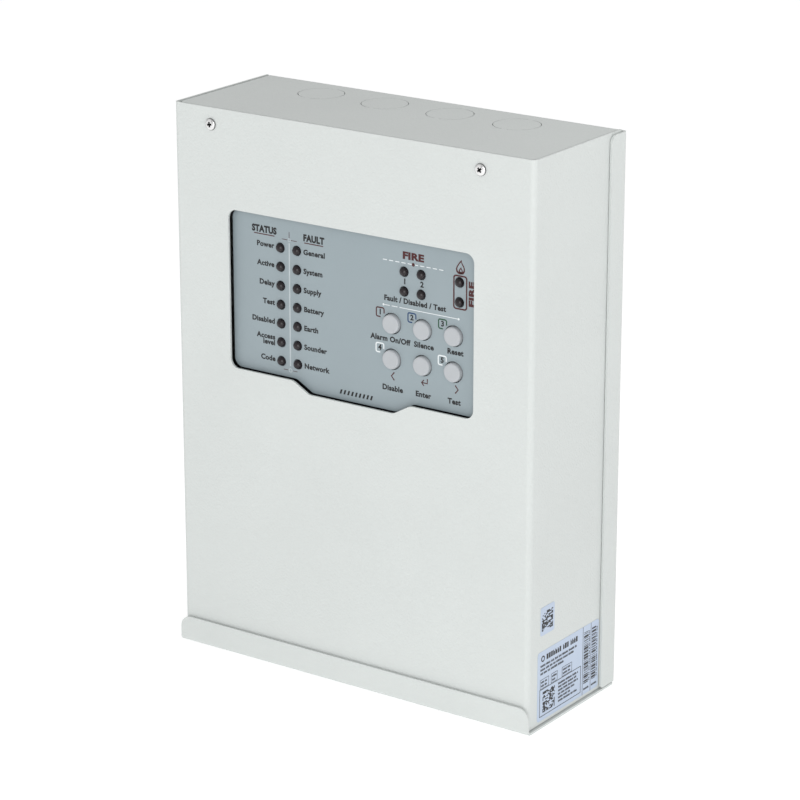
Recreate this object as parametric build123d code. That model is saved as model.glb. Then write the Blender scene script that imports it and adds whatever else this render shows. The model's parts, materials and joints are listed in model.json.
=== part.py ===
from build123d import *
import math
import os

# Conventional two-zone fire alarm control panel in a folded steel wall case, in millimetres.
# Working axes: X across, Z up, Y = 0 on the wall face and negative towards the reader.
# Every part is shifted by half the overall depth on export, so the origin is the bottom centre.

# ---- driving dimensions ----
SHEET = 1.2
CASE_H = 300.0
BASE_HALF = 112.5
COVER_HALF = 111.0
TOP_LEFT = 108.2
TOP_RIGHT = 109.5
COVER_FRONT = -83.0
COVER_REAR = -3.5
COVER_FOOT = 1.7
BEND_R = 3.0
STRIP_D = 14.5
STRIP_TOP = 298.8
LIP_FRONT = -84.8
LIP_TOP = 14.6
LIP_CORNER_R = 6.5
TOP_FRONT = -81.4
REAR_BEND_R = 5.0
OVERALL_D = 84.8

KNOCKOUT_X = (-59.3, -18.7, 21.9, 62.5)
KNOCKOUT_Y = -24.4
KNOCKOUT_R = 12.5
KNOCKOUT_GAP = 0.4

WALL_X = 98.0
WALL_Z = (108.0, 274.0)
WALL_HOLE_R = 2.75
CLINCH_R = 3.6
ENTRY_W = 60.0
ENTRY_Z = 279.0
ENTRY_H = 20.0

SCREW_X = (-86.7, 79.8)
SCREW_Z = 291.2
SCREW_HEAD_R = 3.2
SCREW_HEAD_H = 1.4
SCREW_SHANK_R = 1.95
SCREW_LEN = 10.0

WIN_HALF = 76.4
WIN_TOP = 247.9
WIN_FOOT = 162.2
WIN_TAB = 156.3
WIN_R = 5.0

RECESS = 3.8
OVERLAY_FRONT = COVER_FRONT + RECESS
OVERLAY_T = 0.3
FASCIA_T = 2.0
FASCIA_REAR = OVERLAY_FRONT + OVERLAY_T + FASCIA_T
LED_R = 2.5
LED_HOLE_R = 2.75
LED_PROUD = 2.3
LED_PITCH = 10.16
LED_TOP_Z = 231.1
LED_COLS = (-45.7, -35.2)
ZONE_X = (31.8, 42.2)
ZONE_Z = (231.0, 220.7)
FIRE_X = 65.3
BUTTON_X = (24.4, 43.2, 62.0)
BUTTON_Z = (202.6, 183.8)
BUTTON_R = 5.0
BUTTON_HOLE_R = 5.6
BUTTON_PROUD = 2.0

DPCB_FRONT = -71.4
PCB_T = 1.6
PLATE_FRONT = -63.2
BRACKET_HALF = 95.2
POSTS = [(-74, 167), (74, 167), (-74, 243), (74, 243)]

MPCB_REAR = -9.2
MPCB_FRONT = MPCB_REAR - PCB_T
MPCB_HALF = 90.0
MPCB_Z = (118.0, 262.0)
STANDOFFS = [(x, z) for x in (-85, 0, 85) for z in (123, 244)]

BATT = (-104.0, 47.0, -67.5, -2.6, 1.3, 95.3)
TERMINAL_X = (-94.0, 37.0)
TERMINAL_Y = -58.0


# ---- small builders ----
def block(x0, x1, y0, y1, z0, z1):
    return Pos((x0 + x1) / 2, (y0 + y1) / 2, (z0 + z1) / 2) * Box(x1 - x0, y1 - y0, z1 - z0)


def rod_y(x, z, r, y0, y1):
    return Pos(x, (y0 + y1) / 2, z) * Rot(90, 0, 0) * Cylinder(r, y1 - y0)


def rod_z(x, y, r, z0, z1):
    return Pos(x, y, (z0 + z1) / 2) * Cylinder(r, z1 - z0)


def rod_x(y, z, r, x0, x1):
    return Pos((x0 + x1) / 2, y, z) * Rot(0, 90, 0) * Cylinder(r, x1 - x0)


def prism_y(face, y0, y1):
    """A flat X-Z outline drawn as (x, z), made solid from y0 to y1."""
    return extrude(Plane.XZ.offset(-y1) * face, amount=y1 - y0, dir=(0, -1, 0))


def prism_x(face, x0, x1):
    """A flat Y-Z outline drawn as (y, z), made solid from x0 to x1."""
    return extrude(Plane.YZ.offset(x0) * face, amount=x1 - x0, dir=(1, 0, 0))


def prism_z(face, z0, z1):
    return extrude(Pos(0, 0, z0) * face, amount=z1 - z0, dir=(0, 0, 1))


def outline(points, radius):
    """A closed polygon with every corner rounded."""
    return make_face(FilletPolyline(*points, radius=radius, close=True))


def rounded(x0, x1, z0, z1, r):
    return Pos((x0 + x1) / 2, (z0 + z1) / 2) * RectangleRounded(x1 - x0, z1 - z0, r)


def soft_block(x0, x1, y0, y1, z0, z1, r):
    """A block with all its edges rounded."""
    body = block(x0, x1, y0, y1, z0, z1)
    return fillet(body.edges(), r)


def wire_run(points, r, leave=(0, 0, 1), enter=(0, 0, 1)):
    """A round flexible lead through the given points, square to its two ends."""
    path = Spline(*points, tangents=[leave, enter])
    start = Plane(origin=path @ 0, z_dir=path % 0)
    return sweep(start * Circle(r), path=path)


def pan_screw(x, z, y_seat, head_r, head_h, shank_r, length, facing=-1):
    """A cross-recessed pan head screw along Y. facing -1: the head points to -Y."""
    head = Pos(0, 0, head_h / 2) * Cylinder(head_r, head_h)
    head = fillet(head.edges().sort_by(Axis.Z)[-1], head_h * 0.55)
    shank = Pos(0, 0, -length / 2) * Cylinder(shank_r, length)
    shank = chamfer(shank.edges().sort_by(Axis.Z)[0], shank_r * 0.25)
    arm = head_r * 1.05
    slot = Box(arm, head_r * 0.26, head_h * 1.1) + Box(head_r * 0.26, arm, head_h * 1.1)
    body = head + shank - Pos(0, 0, head_h) * slot
    turn = 90 if facing < 0 else -90
    return Pos(x, y_seat, z) * Rot(turn, 0, 0) * body


# ---- case ----
def side_ring():
    """Side section of the folded back box: lip, floor, back and top as one sheet."""
    outer = [(LIP_FRONT, 0), (0, 0), (0, CASE_H), (LIP_FRONT, CASE_H)]
    face = make_face(Polyline(*outer, close=True))
    low_front = face.vertices().filter_by(lambda v: v.X < LIP_FRONT + 0.01 and v.Y < 0.01)
    face = fillet(low_front, 2.4)
    low_back = face.vertices().filter_by(lambda v: v.X > -0.01 and v.Y < 0.01)
    face = fillet(low_back, 2.0)
    top_back = face.vertices().filter_by(lambda v: v.X > -0.01 and v.Y > CASE_H - 0.01)
    face = fillet(top_back, REAR_BEND_R)
    return face


def side_hollow():
    lo_y = LIP_FRONT + SHEET
    hi_z = CASE_H - SHEET
    inner = [(lo_y, SHEET), (-SHEET, SHEET), (-SHEET, hi_z), (lo_y, hi_z)]
    face = make_face(Polyline(*inner, close=True))
    low_front = face.vertices().filter_by(lambda v: v.X < lo_y + 0.01 and v.Y < SHEET + 0.01)
    face = fillet(low_front, 1.2)
    low_back = face.vertices().filter_by(lambda v: v.X > -SHEET - 0.01 and v.Y < SHEET + 0.01)
    face = fillet(low_back, 0.8)
    top_back = face.vertices().filter_by(lambda v: v.X > -SHEET - 0.01 and v.Y > hi_z - 0.01)
    face = fillet(top_back, REAR_BEND_R - SHEET)
    return face


def tray_flanges():
    """Back plate with a flange folded forward down each side, outside the cover."""
    outer = Pos(0, -STRIP_D / 2) * Rectangle(2 * BASE_HALF, STRIP_D)
    outer = fillet(outer.vertices().sort_by(Axis.Y)[-2:], 2.0)
    inner = Pos(0, -STRIP_D / 2 - SHEET) * Rectangle(2 * (BASE_HALF - SHEET), STRIP_D)
    inner = fillet(inner.vertices().sort_by(Axis.Y)[-2:], 0.8)
    tray = prism_z(outer - inner, 1.6, STRIP_TOP)
    for side in (-1, 1):
        x0, x1 = sorted((side * (BASE_HALF - 2), side * (BASE_HALF + 2)))
        for z, r, up in ((STRIP_TOP, 4.0, 1), (1.6, 2.0, -1)):
            y_c = -STRIP_D + r
            z_c = z - up * r
            z0, z1 = sorted((z_c, z + up))
            corner = block(x0, x1, -STRIP_D - 1, y_c, z0, z1) - rod_x(y_c, z_c, r, x0, x1)
            tray -= corner
    return tray


def lip_mask():
    """Rounds the two upper corners of the front lip."""
    keep = rounded(-BASE_HALF, BASE_HALF, -LIP_TOP, LIP_TOP, LIP_CORNER_R)
    return prism_y(keep, LIP_FRONT - 1, LIP_FRONT + SHEET + 0.01)


def screw_tabs():
    """Ears folded down from the front edge of the top sheet, behind each cover screw."""
    ears = [
        prism_y(rounded(x - 10, x + 10, 283, CASE_H + 3, 3), TOP_FRONT, TOP_FRONT + SHEET)
        for x in SCREW_X
    ]
    return [ear & block(-112, 112, -90, 0, 280, CASE_H - 0.4) for ear in ears]


def base_tray():
    section = side_ring() - side_hollow()
    body = prism_x(section, -TOP_LEFT, TOP_RIGHT)
    wide = prism_x(section, -BASE_HALF, BASE_HALF)
    wide &= block(-120, 120, LIP_FRONT - 1, -2.6, -1, LIP_TOP)
    body -= block(-120, 120, LIP_FRONT - 1, TOP_FRONT, LIP_TOP, CASE_H + 1)
    front = wide & block(-120, 120, LIP_FRONT - 1, LIP_FRONT + SHEET, -1, LIP_TOP + 1)
    floor = wide & block(-120, 120, LIP_FRONT + SHEET, 0, -1, LIP_TOP)
    body -= block(-120, 120, LIP_FRONT - 1, LIP_FRONT + SHEET, -1, LIP_TOP + 1)
    body = body + floor + (front & lip_mask()) + tray_flanges()
    for ear in screw_tabs():
        body += ear
    for side, half in ((-1, TOP_LEFT), (1, TOP_RIGHT)):
        x0, x1 = sorted((side * (half - 3), side * (half + 1)))
        corner = block(x0, x1, TOP_FRONT - 1, TOP_FRONT + 3, CASE_H - 2, CASE_H + 1)
        body -= corner - rod_z(side * (half - 3), TOP_FRONT + 3, 3.0, CASE_H - 3, CASE_H + 2)
    for x in KNOCKOUT_X:
        body -= rod_z(x, KNOCKOUT_Y, KNOCKOUT_R, CASE_H - 4, CASE_H + 1)
    for x in SCREW_X:
        body -= rod_y(x, SCREW_Z, 2.5, TOP_FRONT - 1, TOP_FRONT + 2)
    for x in (-WALL_X, WALL_X):
        for z in WALL_Z:
            body -= rod_y(x, z, WALL_HOLE_R, -3, 1)
    z0 = ENTRY_Z - ENTRY_H / 2
    entry = rounded(-ENTRY_W / 2, ENTRY_W / 2, z0, z0 + ENTRY_H, 3)
    body -= prism_y(entry, -3, 1)
    body -= block(-107.0, -105.1, -3, 1, 54.4, 70.6)
    for x, z in STANDOFFS + [(52, 283)]:
        body -= rod_y(x, z, CLINCH_R, -0.15, 1) - rod_y(x, z, CLINCH_R - 0.3, -1, 2)
    return body


def knockout_blanks():
    """Four sheared discs, each held by a nib at its front and its back."""
    blanks = []
    for x in KNOCKOUT_X:
        disc = rod_z(x, KNOCKOUT_Y, KNOCKOUT_R - KNOCKOUT_GAP, CASE_H - SHEET, CASE_H)
        reach = math.sqrt(KNOCKOUT_R ** 2 - 1.2 ** 2)
        nib = block(x - 1.2, x + 1.2, KNOCKOUT_Y - reach, KNOCKOUT_Y + reach,
                    CASE_H - SHEET, CASE_H)
        blanks.append(disc + nib)
    return blanks


def clinch_nuts():
    y0 = TOP_FRONT + SHEET
    nuts = []
    for x in SCREW_X:
        nut = rod_y(x, SCREW_Z, 4.2, y0, y0 + 5) - rod_y(x, SCREW_Z, 2.4, y0 - 1, y0 + 6)
        nuts.append(nut)
    return nuts


def window():
    half = WIN_HALF
    points = [
        (-half, WIN_TOP), (half, WIN_TOP), (half, WIN_FOOT), (38, WIN_FOOT),
        (27.5, WIN_TAB), (-25.5, WIN_TAB), (-36, WIN_FOOT), (-half, WIN_FOOT),
    ]
    return outline(points, WIN_R)


def cover():
    """Front and two sides folded from one sheet, open above, below and behind."""
    mid = (COVER_FRONT + COVER_REAR) / 2
    deep = COVER_REAR - COVER_FRONT
    outer = Pos(0, mid) * Rectangle(2 * COVER_HALF, deep)
    outer = fillet(outer.vertices().sort_by(Axis.Y)[:2], BEND_R)
    inner = Pos(0, mid + SHEET) * Rectangle(2 * (COVER_HALF - SHEET), deep)
    inner = fillet(inner.vertices().sort_by(Axis.Y)[:2], BEND_R - SHEET)
    body = prism_z(outer - inner, COVER_FOOT, CASE_H)
    body -= prism_y(window(), COVER_FRONT - 1, COVER_FRONT + 2)
    for x in SCREW_X:
        body -= rod_y(x, SCREW_Z, 2.35, COVER_FRONT - 1, COVER_FRONT + 2)
    return body


def label(y0, y1, z0, z1, r):
    """A printed film label stuck on the outside of the right-hand cover side."""
    face = Pos((y0 + y1) / 2, (z0 + z1) / 2) * RectangleRounded(y1 - y0, z1 - z0, r)
    return prism_x(face, COVER_HALF, COVER_HALF + 0.15)


def cover_screw(x):
    return pan_screw(x, SCREW_Z, COVER_FRONT, SCREW_HEAD_R, SCREW_HEAD_H,
                     SCREW_SHANK_R, SCREW_LEN)


# ---- operator panel ----
def led_sites():
    status = [(x, LED_TOP_Z - LED_PITCH * k) for x in LED_COLS for k in range(7)]
    zone = [(x, z) for x in ZONE_X for z in ZONE_Z]
    fire = [(FIRE_X, z) for z in ZONE_Z]
    return status, zone, fire


def button_sites():
    return [(x, z) for z in BUTTON_Z for x in BUTTON_X]


def pierced(body, y0, y1):
    """Cuts the lamp and button holes of the operator panel."""
    for group in led_sites():
        for x, z in group:
            body -= rod_y(x, z, LED_HOLE_R, y0 - 1, y1 + 1)
    for x, z in button_sites():
        body -= rod_y(x, z, BUTTON_HOLE_R, y0 - 1, y1 + 1)
    return body


def overlay():
    y1 = OVERLAY_FRONT + OVERLAY_T
    return pierced(prism_y(window(), OVERLAY_FRONT, y1), OVERLAY_FRONT, y1)


def fascia_plate():
    """Moulded carrier of the printed overlay, with four screw posts behind."""
    y0 = OVERLAY_FRONT + OVERLAY_T
    body = pierced(prism_y(window(), y0, FASCIA_REAR), y0, FASCIA_REAR)
    for x, z in POSTS:
        body += rod_y(math.copysign(71, x), z, 3.0, FASCIA_REAR - 0.5, DPCB_FRONT)
    for x, z in POSTS:
        body -= rod_y(math.copysign(71, x), z, 1.55, FASCIA_REAR + 0.4, DPCB_FRONT + 1)
    return body


def led(x, z):
    tip = OVERLAY_FRONT - LED_PROUD
    centre = tip + LED_R
    body = rod_y(x, z, LED_R, centre, centre + 6.2) + Pos(x, centre, z) * Sphere(LED_R)
    body += rod_y(x, z, 2.9, centre + 5.2, centre + 6.2)
    for dx in (-1.27, 1.27):
        body += block(x + dx - 0.25, x + dx + 0.25, centre + 6.1, DPCB_FRONT, z - 0.25, z + 0.25)
    return body


def button(x, z):
    """Round key: proud cap, retaining flange and the stem that works the switch."""
    front = OVERLAY_FRONT - BUTTON_PROUD
    flange = FASCIA_REAR + 0.3
    cap = rod_y(x, z, BUTTON_R, front, flange + 0.2)
    cap = chamfer(cap.edges().sort_by(Axis.Y)[0], 0.6)
    cap += rod_y(x, z, BUTTON_HOLE_R + 0.6, flange, flange + 0.8)
    return cap + rod_y(x, z, 1.7, flange + 0.7, -74.2)


def tact_switches():
    top = DPCB_FRONT - 3.5
    bodies = []
    for x, z in button_sites():
        body = block(x - 3, x + 3, top, DPCB_FRONT, z - 3, z + 3)
        body = chamfer(body.edges().filter_by(Axis.Y), 0.4)
        bodies.append(body - rod_y(x, z, 2.1, top - 1, top + 2.2))
    return bodies


def display_pcb():
    body = prism_y(rounded(-78, 78, 152, 250, 2), DPCB_FRONT, DPCB_FRONT + PCB_T)
    for x, z in POSTS:
        body -= rod_y(math.copysign(71, x), z, 1.7, DPCB_FRONT - 1, DPCB_FRONT + 3)
    return body


def display_spacers():
    y0 = DPCB_FRONT + PCB_T
    tubes = []
    for x, z in POSTS:
        px = math.copysign(71, x)
        tubes.append(rod_y(px, z, 3.2, y0, PLATE_FRONT) - rod_y(px, z, 1.75, y0 - 1, -60))
    return tubes


def display_screws():
    seat = PLATE_FRONT + SHEET
    return [
        pan_screw(math.copysign(71, x), z, seat, 2.9, 1.9, 1.35, 13.0, facing=1)
        for x, z in POSTS
    ]


def display_bracket():
    """Folded steel bridge that carries the operator panel in front of the main board."""
    rear = PLATE_FRONT + SHEET
    half = BRACKET_HALF
    outer = Pos(0, (PLATE_FRONT - SHEET) / 2) * Rectangle(2 * half, -PLATE_FRONT - SHEET)
    outer = fillet(outer.vertices().sort_by(Axis.Y)[:2], 2.4)
    inner_d = -rear
    inner = Pos(0, rear + inner_d / 2) * Rectangle(2 * (half - SHEET), inner_d)
    inner = fillet(inner.vertices().sort_by(Axis.Y)[:2], 1.2)
    body = prism_z(outer - inner, 148, 256)
    for side in (-1, 1):
        x0, x1 = sorted((side * (half - SHEET), side * 106))
        body += prism_y(rounded(x0, x1, 148, 256, 0.5), -2 * SHEET, -SHEET)
    body -= prism_y(rounded(-55, 55, 176, 236, 6), PLATE_FRONT - 1, rear + 1)
    body -= prism_y(rounded(-20, 20, 140, 166, 3), PLATE_FRONT - 1, rear + 1)
    for side in (-1, 1):
        body -= prism_x(rounded(-52, -16, 164, 240, 6), side * 95 - 3, side * 95 + 3)
        for z in (156, 248):
            body -= rod_y(side * 101, z, 1.8, -4, 0)
    for x, z in POSTS:
        body -= rod_y(math.copysign(71, x), z, 1.75, PLATE_FRONT - 1, rear + 1)
    return body


def bracket_screws():
    """Short screws into extruded threads, ending inside the back plate."""
    return [
        pan_screw(side * 101, z, -2 * SHEET, 2.9, 2.0, 1.55, 1.2)
        for side in (-1, 1) for z in (156, 248)
    ]


def box_header(x, z, y0, y1, w=33.0, h=9.0):
    """Shrouded ribbon cable socket, open towards -Y or +Y by its depth order."""
    return soft_block(x - w / 2, x + w / 2, y0, y1, z - h / 2, z + h / 2, 0.4)


def ribbon_cable():
    """Flat twenty-way cable looping down from the display board to the main board."""
    points = [(-61.4, 158), (-56, 157.2), (-44, 147), (-38, 138), (-28, 133), (-21.6, 132.6)]
    path = Spline(*[(0, y, z) for y, z in points], tangents=[(0, 1, 0), (0, 1, 0)])
    start = Plane(origin=path @ 0, x_dir=(1, 0, 0), z_dir=path % 0)
    return sweep(start * Rectangle(25.4, 0.9), path=path)


# ---- main board ----
def main_pcb():
    body = prism_y(rounded(-MPCB_HALF, MPCB_HALF, *MPCB_Z, 2.5), MPCB_FRONT, MPCB_REAR)
    for x, z in STANDOFFS:
        body -= rod_y(x, z, 1.75, MPCB_FRONT - 1, MPCB_REAR + 1)
    return body


def board_standoffs():
    pillars = []
    for x, z in STANDOFFS:
        face = Pos(x, z) * RegularPolygon(3.4, 6)
        pillar = prism_y(face, MPCB_REAR, -SHEET)
        pillars.append(pillar - rod_y(x, z, 1.5, MPCB_REAR - 1, MPCB_REAR + 6))
    return pillars


def board_screws():
    return [pan_screw(x, z, MPCB_FRONT, 2.9, 2.0, 1.35, 6.0) for x, z in STANDOFFS]


def terminal_strip(x0, ways, pitch, z0, deep, high):
    """Rising-clamp strip: wire mouths face up, screw wells face the reader."""
    front = MPCB_FRONT - deep
    body = block(x0, x0 + ways * pitch, front, MPCB_FRONT, z0, z0 + high)
    body -= block(x0 - 1, x0 + ways * pitch + 1, front - 1, front + 2.5, z0 + high - 2.5,
                  z0 + high + 1)
    for k in range(ways):
        x = x0 + (k + 0.5) * pitch
        body -= rod_y(x, z0 + high * 0.42, pitch * 0.34, front - 1, front + 5)
        body -= block(x - pitch * 0.32, x + pitch * 0.32, MPCB_FRONT - deep * 0.62,
                      MPCB_FRONT - 3, z0 + high - 5, z0 + high + 1)
    return body


STRIPS = [(-86.0, 8), (-44.2, 8), (-2.4, 8)]
STRIP_Z = 251.0
SOUNDER = [(39.2, 3)]
MAINS_ROW = (57.4, 3, 9.5, 247.3, 17, 14.5)


def zone_terminals():
    return [terminal_strip(x, n, 5.08, STRIP_Z, 14, 10) for x, n in STRIPS]


def sounder_terminals():
    return [terminal_strip(x, n, 5.08, STRIP_Z, 14, 10) for x, n in SOUNDER]


def mains_terminal():
    return terminal_strip(*MAINS_ROW)


def terminal_screws():
    """Clamp screws down in the wells of every strip."""
    made = []
    rows = [(x, n, 5.08, STRIP_Z, 14, 10) for x, n in STRIPS + SOUNDER]
    for x0, n, pitch, z0, deep, high in rows + [MAINS_ROW]:
        floor = MPCB_FRONT - deep + 5
        r = pitch * 0.34 - 0.3
        for k in range(n):
            x = x0 + (k + 0.5) * pitch
            z = z0 + high * 0.42
            head = rod_y(x, z, r, floor - 1.8, floor)
            made.append(head - block(x - 3, x + 3, floor - 2.5, floor - 1.1, z - 0.35, z + 0.35))
    return made


def fuse_holder():
    """Open clip holder for a 5 x 20 cartridge, with an end stop at each side."""
    y1 = MPCB_FRONT
    body = block(60, 86, y1 - 3, y1, 229, 237)
    for x in (62.5, 80.5):
        for z in (229.8, 235.6):
            body += block(x, x + 3, y1 - 8, y1 - 2.9, z, z + 0.6)
    return body


def fuse():
    y = MPCB_FRONT - 5.8
    body = rod_x(y, 233, 2.35, 62.5, 83.5)
    for x in (62.0, 79.3):
        body += rod_x(y, 233, 2.5, x, x + 4.7)
    return body


def relays():
    y1 = MPCB_FRONT
    return [soft_block(x, x + 15.5, y1 - 15, y1, 221, 240, 0.6) for x in (-80, -60, -40)]


def processor():
    y1 = MPCB_FRONT
    body = block(-22, -8, y1 - 1.8, y1 - 0.4, 190, 204)
    body = chamfer(body.edges().filter_by(Axis.Y), 0.6)
    for k in range(10):
        t = -5.4 + k * 1.2
        body += block(-23.4, -6.6, y1 - 0.8, y1, 197 + t - 0.25, 197 + t + 0.25)
        body += block(-15 + t - 0.25, -15 + t + 0.25, y1 - 0.8, y1, 188.6, 205.4)
    return body


def can(x, z, r, h):
    """Electrolytic capacitor standing on the board, with its rolled shoulder."""
    y1 = MPCB_FRONT
    body = rod_y(x, z, r, y1 - h, y1)
    return fillet(body.edges().sort_by(Axis.Y)[0], 0.9)


def capacitors():
    return [can(34, 196, 8, 25), can(34, 176, 8, 25), can(14, 172, 5, 16), can(14, 186, 5, 16)]


def heatsink():
    """Extruded fin block of the charger regulator."""
    y1 = MPCB_FRONT
    body = block(52, 84, y1 - 26, y1 - 1, 176, 179)
    for k in range(6):
        x = 52 + k * 5.8
        body += block(x, x + 3.0, y1 - 26, y1 - 1, 178.9, 194)
    for x in (53, 80):
        body += block(x, x + 3, y1 - 1.1, y1, 176.5, 178.5)
    return body


def regulator():
    y1 = MPCB_FRONT
    body = block(63, 73.4, y1 - 20, y1 - 5, 171.4, 176)
    for x in (65.2, 68.2, 71.2):
        body += block(x - 0.4, x + 0.4, y1 - 5.1, y1, 172.6, 173.2)
    return body


def buzzer():
    y1 = MPCB_FRONT
    body = rod_y(-62, 190, 12, y1 - 10, y1)
    body = fillet(body.edges().sort_by(Axis.Y)[0], 1.2)
    return body - rod_y(-62, 190, 1.6, y1 - 11, y1 - 7)


def battery_connector():
    y1 = MPCB_FRONT
    body = soft_block(52, 66, y1 - 11, y1, 120.5, 130.5, 0.5)
    for x in (55.5, 62.5):
        body -= block(x - 2.3, x + 2.3, y1 - 9.5, y1 - 3, 119, 125)
    return body


# ---- supply ----
def transformer_core():
    """Stacked laminations with the two winding windows."""
    body = block(57, 105, -36, -9, 22, 79)
    body -= block(66, 74, -40, 0, 30, 71)
    body -= block(88, 96, -40, 0, 30, 71)
    return body


def transformer_coil():
    outer = soft_block(66.4, 95.6, -46, -3.2, 30.4, 70.6, 2.0)
    return outer - block(73.7, 88.3, -36.3, -8.7, 25, 75) - block(73.7, 88.3, -36.3, -8.7, 20, 80)


def transformer_frame():
    """Steel clamp strap over the stack, with a screw foot above and below."""
    y0 = -37.2
    body = block(57, 105, y0, -2.4, 79.2, 80.4) + block(57, 105, y0, -2.4, 20.6, 21.8)
    body += block(57, 65, y0, y0 + 1, 20.6, 80.4) + block(97, 105, y0, y0 + 1, 20.6, 80.4)
    body += block(72, 90, -2.4, -SHEET, 79.2, 91) + block(72, 90, -2.4, -SHEET, 10, 21.8)
    body += block(57, 105, -3.6, -2.3, 79.2, 80.4)
    for z in (86, 15):
        body -= rod_y(81, z, 2.2, -4, 0)
    return body


def transformer_screws():
    return [pan_screw(81, z, -2.4, 3.6, 2.2, 1.9, 1.2) for z in (86, 15)]


def transformer_leads():
    """Two sleeved secondary leads from the coil up to the board."""
    y1 = MPCB_FRONT
    leads = []
    for x, dx in ((78, 0), (84, 3)):
        points = [(x, -42, 70.6), (x, -42, 84), (x - 2, -34, 100), (x + dx, -24, 112),
                  (x + dx, y1 - 5, 121), (x + dx, y1 - 4, 126.5)]
        leads.append(wire_run(points, 0.9))
    return leads


def supply_socket():
    y1 = MPCB_FRONT
    return soft_block(73, 91 - 2, y1 - 9, y1, 126.5, 134.5, 0.5)


def battery_case():
    x0, x1, y0, y1, z0, z1 = BATT
    body = block(x0, x1, y0, y1, z0, z1)
    body = fillet(body.edges().filter_by(Axis.Z), 3.0)
    body = fillet(body.edges().sort_by(Axis.Z)[-8:], 1.0)
    ring = block(x0 - 1, x1 + 1, y0 - 1, y1 + 1, z1 - 14.6, z1 - 13.8)
    ring -= soft_block(x0 + 0.5, x1 - 0.5, y0 + 0.5, y1 - 0.5, z0, z1 + 9, 2.5)
    body -= ring
    for x in TERMINAL_X:
        well = block(x - 6, x + 6, TERMINAL_Y - 6, TERMINAL_Y + 6, z1 - 2.2, z1 + 1)
        body -= well
    return body


def battery_terminals():
    z0 = BATT[5] - 2.2
    return [block(x - 2.4, x + 2.4, TERMINAL_Y - 0.4, TERMINAL_Y + 0.4, z0, z0 + 7.5)
            for x in TERMINAL_X]


def faston_connectors():
    """Sleeved push-on receptacles over the battery tabs."""
    z0 = BATT[5] + 0.6
    made = []
    for x in TERMINAL_X:
        body = soft_block(x - 3.6, x + 3.6, TERMINAL_Y - 2.2, TERMINAL_Y + 2.2, z0, z0 + 11, 0.8)
        made.append(body - block(x - 2.6, x + 2.6, TERMINAL_Y - 0.6, TERMINAL_Y + 0.6,
                                 z0 - 1, z0 + 5.4))
    return made


def battery_strap():
    """Steel band across the battery: hooked through the back plate, screwed at its foot."""
    y0, y1 = BATT[2] - 1.6, BATT[2] - 0.4
    x0, x1 = BATT[0] - 2.6, BATT[1] + 1.6
    body = block(x0, x1 + 1.2, y0, y1, 55, 70)
    body += block(x0, x0 + 1.2, y0, -0.2, 55, 70)
    body += block(x1, x1 + 1.2, y0, -SHEET, 55, 70)
    body += block(x1, x1 + 8.0, -2.4, -SHEET, 55, 70)
    return body - rod_y(x1 + 4.6, 62.5, 1.8, -4, 0)


def strap_screw():
    return pan_screw(BATT[1] + 6.2, 62.5, -2.4, 2.9, 2.0, 1.55, 1.2)


def battery_lead_red():
    """Arches freely over the battery to the two-way connector."""
    x = TERMINAL_X[0]
    top = BATT[5] + 11.6
    y1 = MPCB_FRONT - 6.2
    path = Bezier((x, TERMINAL_Y, top), (x, TERMINAL_Y, top + 15), (55.5, y1, 80),
                  (55.5, y1, 124.6))
    return sweep(Plane(origin=path @ 0, z_dir=path % 0) * Circle(1.15), path=path)


def battery_lead_black():
    x = TERMINAL_X[1]
    y1 = MPCB_FRONT - 6.2
    path = FilletPolyline((x, TERMINAL_Y, BATT[5] + 11.6), (x, TERMINAL_Y, 114.5),
                          (62.5, y1, 114.5), (62.5, y1, 124.6), radius=5)
    return sweep(Plane(origin=path @ 0, z_dir=path % 0) * Circle(1.15), path=path)


def earth_stud():
    y0 = -16
    return rod_y(52, 283, 2.0, y0, -SHEET)


def earth_nuts():
    made = []
    for y in (-4.6, -9.4):
        nut = prism_y(Pos(52, 283) * RegularPolygon(4.0, 6), y, y + 3)
        made.append(nut - rod_y(52, 283, 2.05, y - 1, y + 4))
    return made


def earth_lead():
    """Green and yellow bonding lead with its ring tag, to the mains terminal."""
    tag = rod_y(52, 283, 4.4, -6.2, -5.4) - rod_y(52, 283, 2.3, -8, 0)
    tag += block(55.5, 62, -6.2, -5.4, 281.8, 284.2)
    path = FilletPolyline((60.5, -5.8, 283), (70, -5.8, 283), (81.15, -17.6, 274),
                          (81.15, -17.6, 258.4), radius=5)
    return tag + sweep(Plane(origin=path @ 0, z_dir=path % 0) * Circle(1.3), path=path)


# ---- export ----
def save(name, shapes):
    shapes = shapes if isinstance(shapes, list) else [shapes]
    solids = [Pos(0, OVERALL_D / 2, 0) * s for shape in shapes for s in shape.solids()]
    whole = solids[0] if len(solids) == 1 else Compound(children=solids)
    whole.label = name
    export_step(whole, f"parts/{name}.step")


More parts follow.
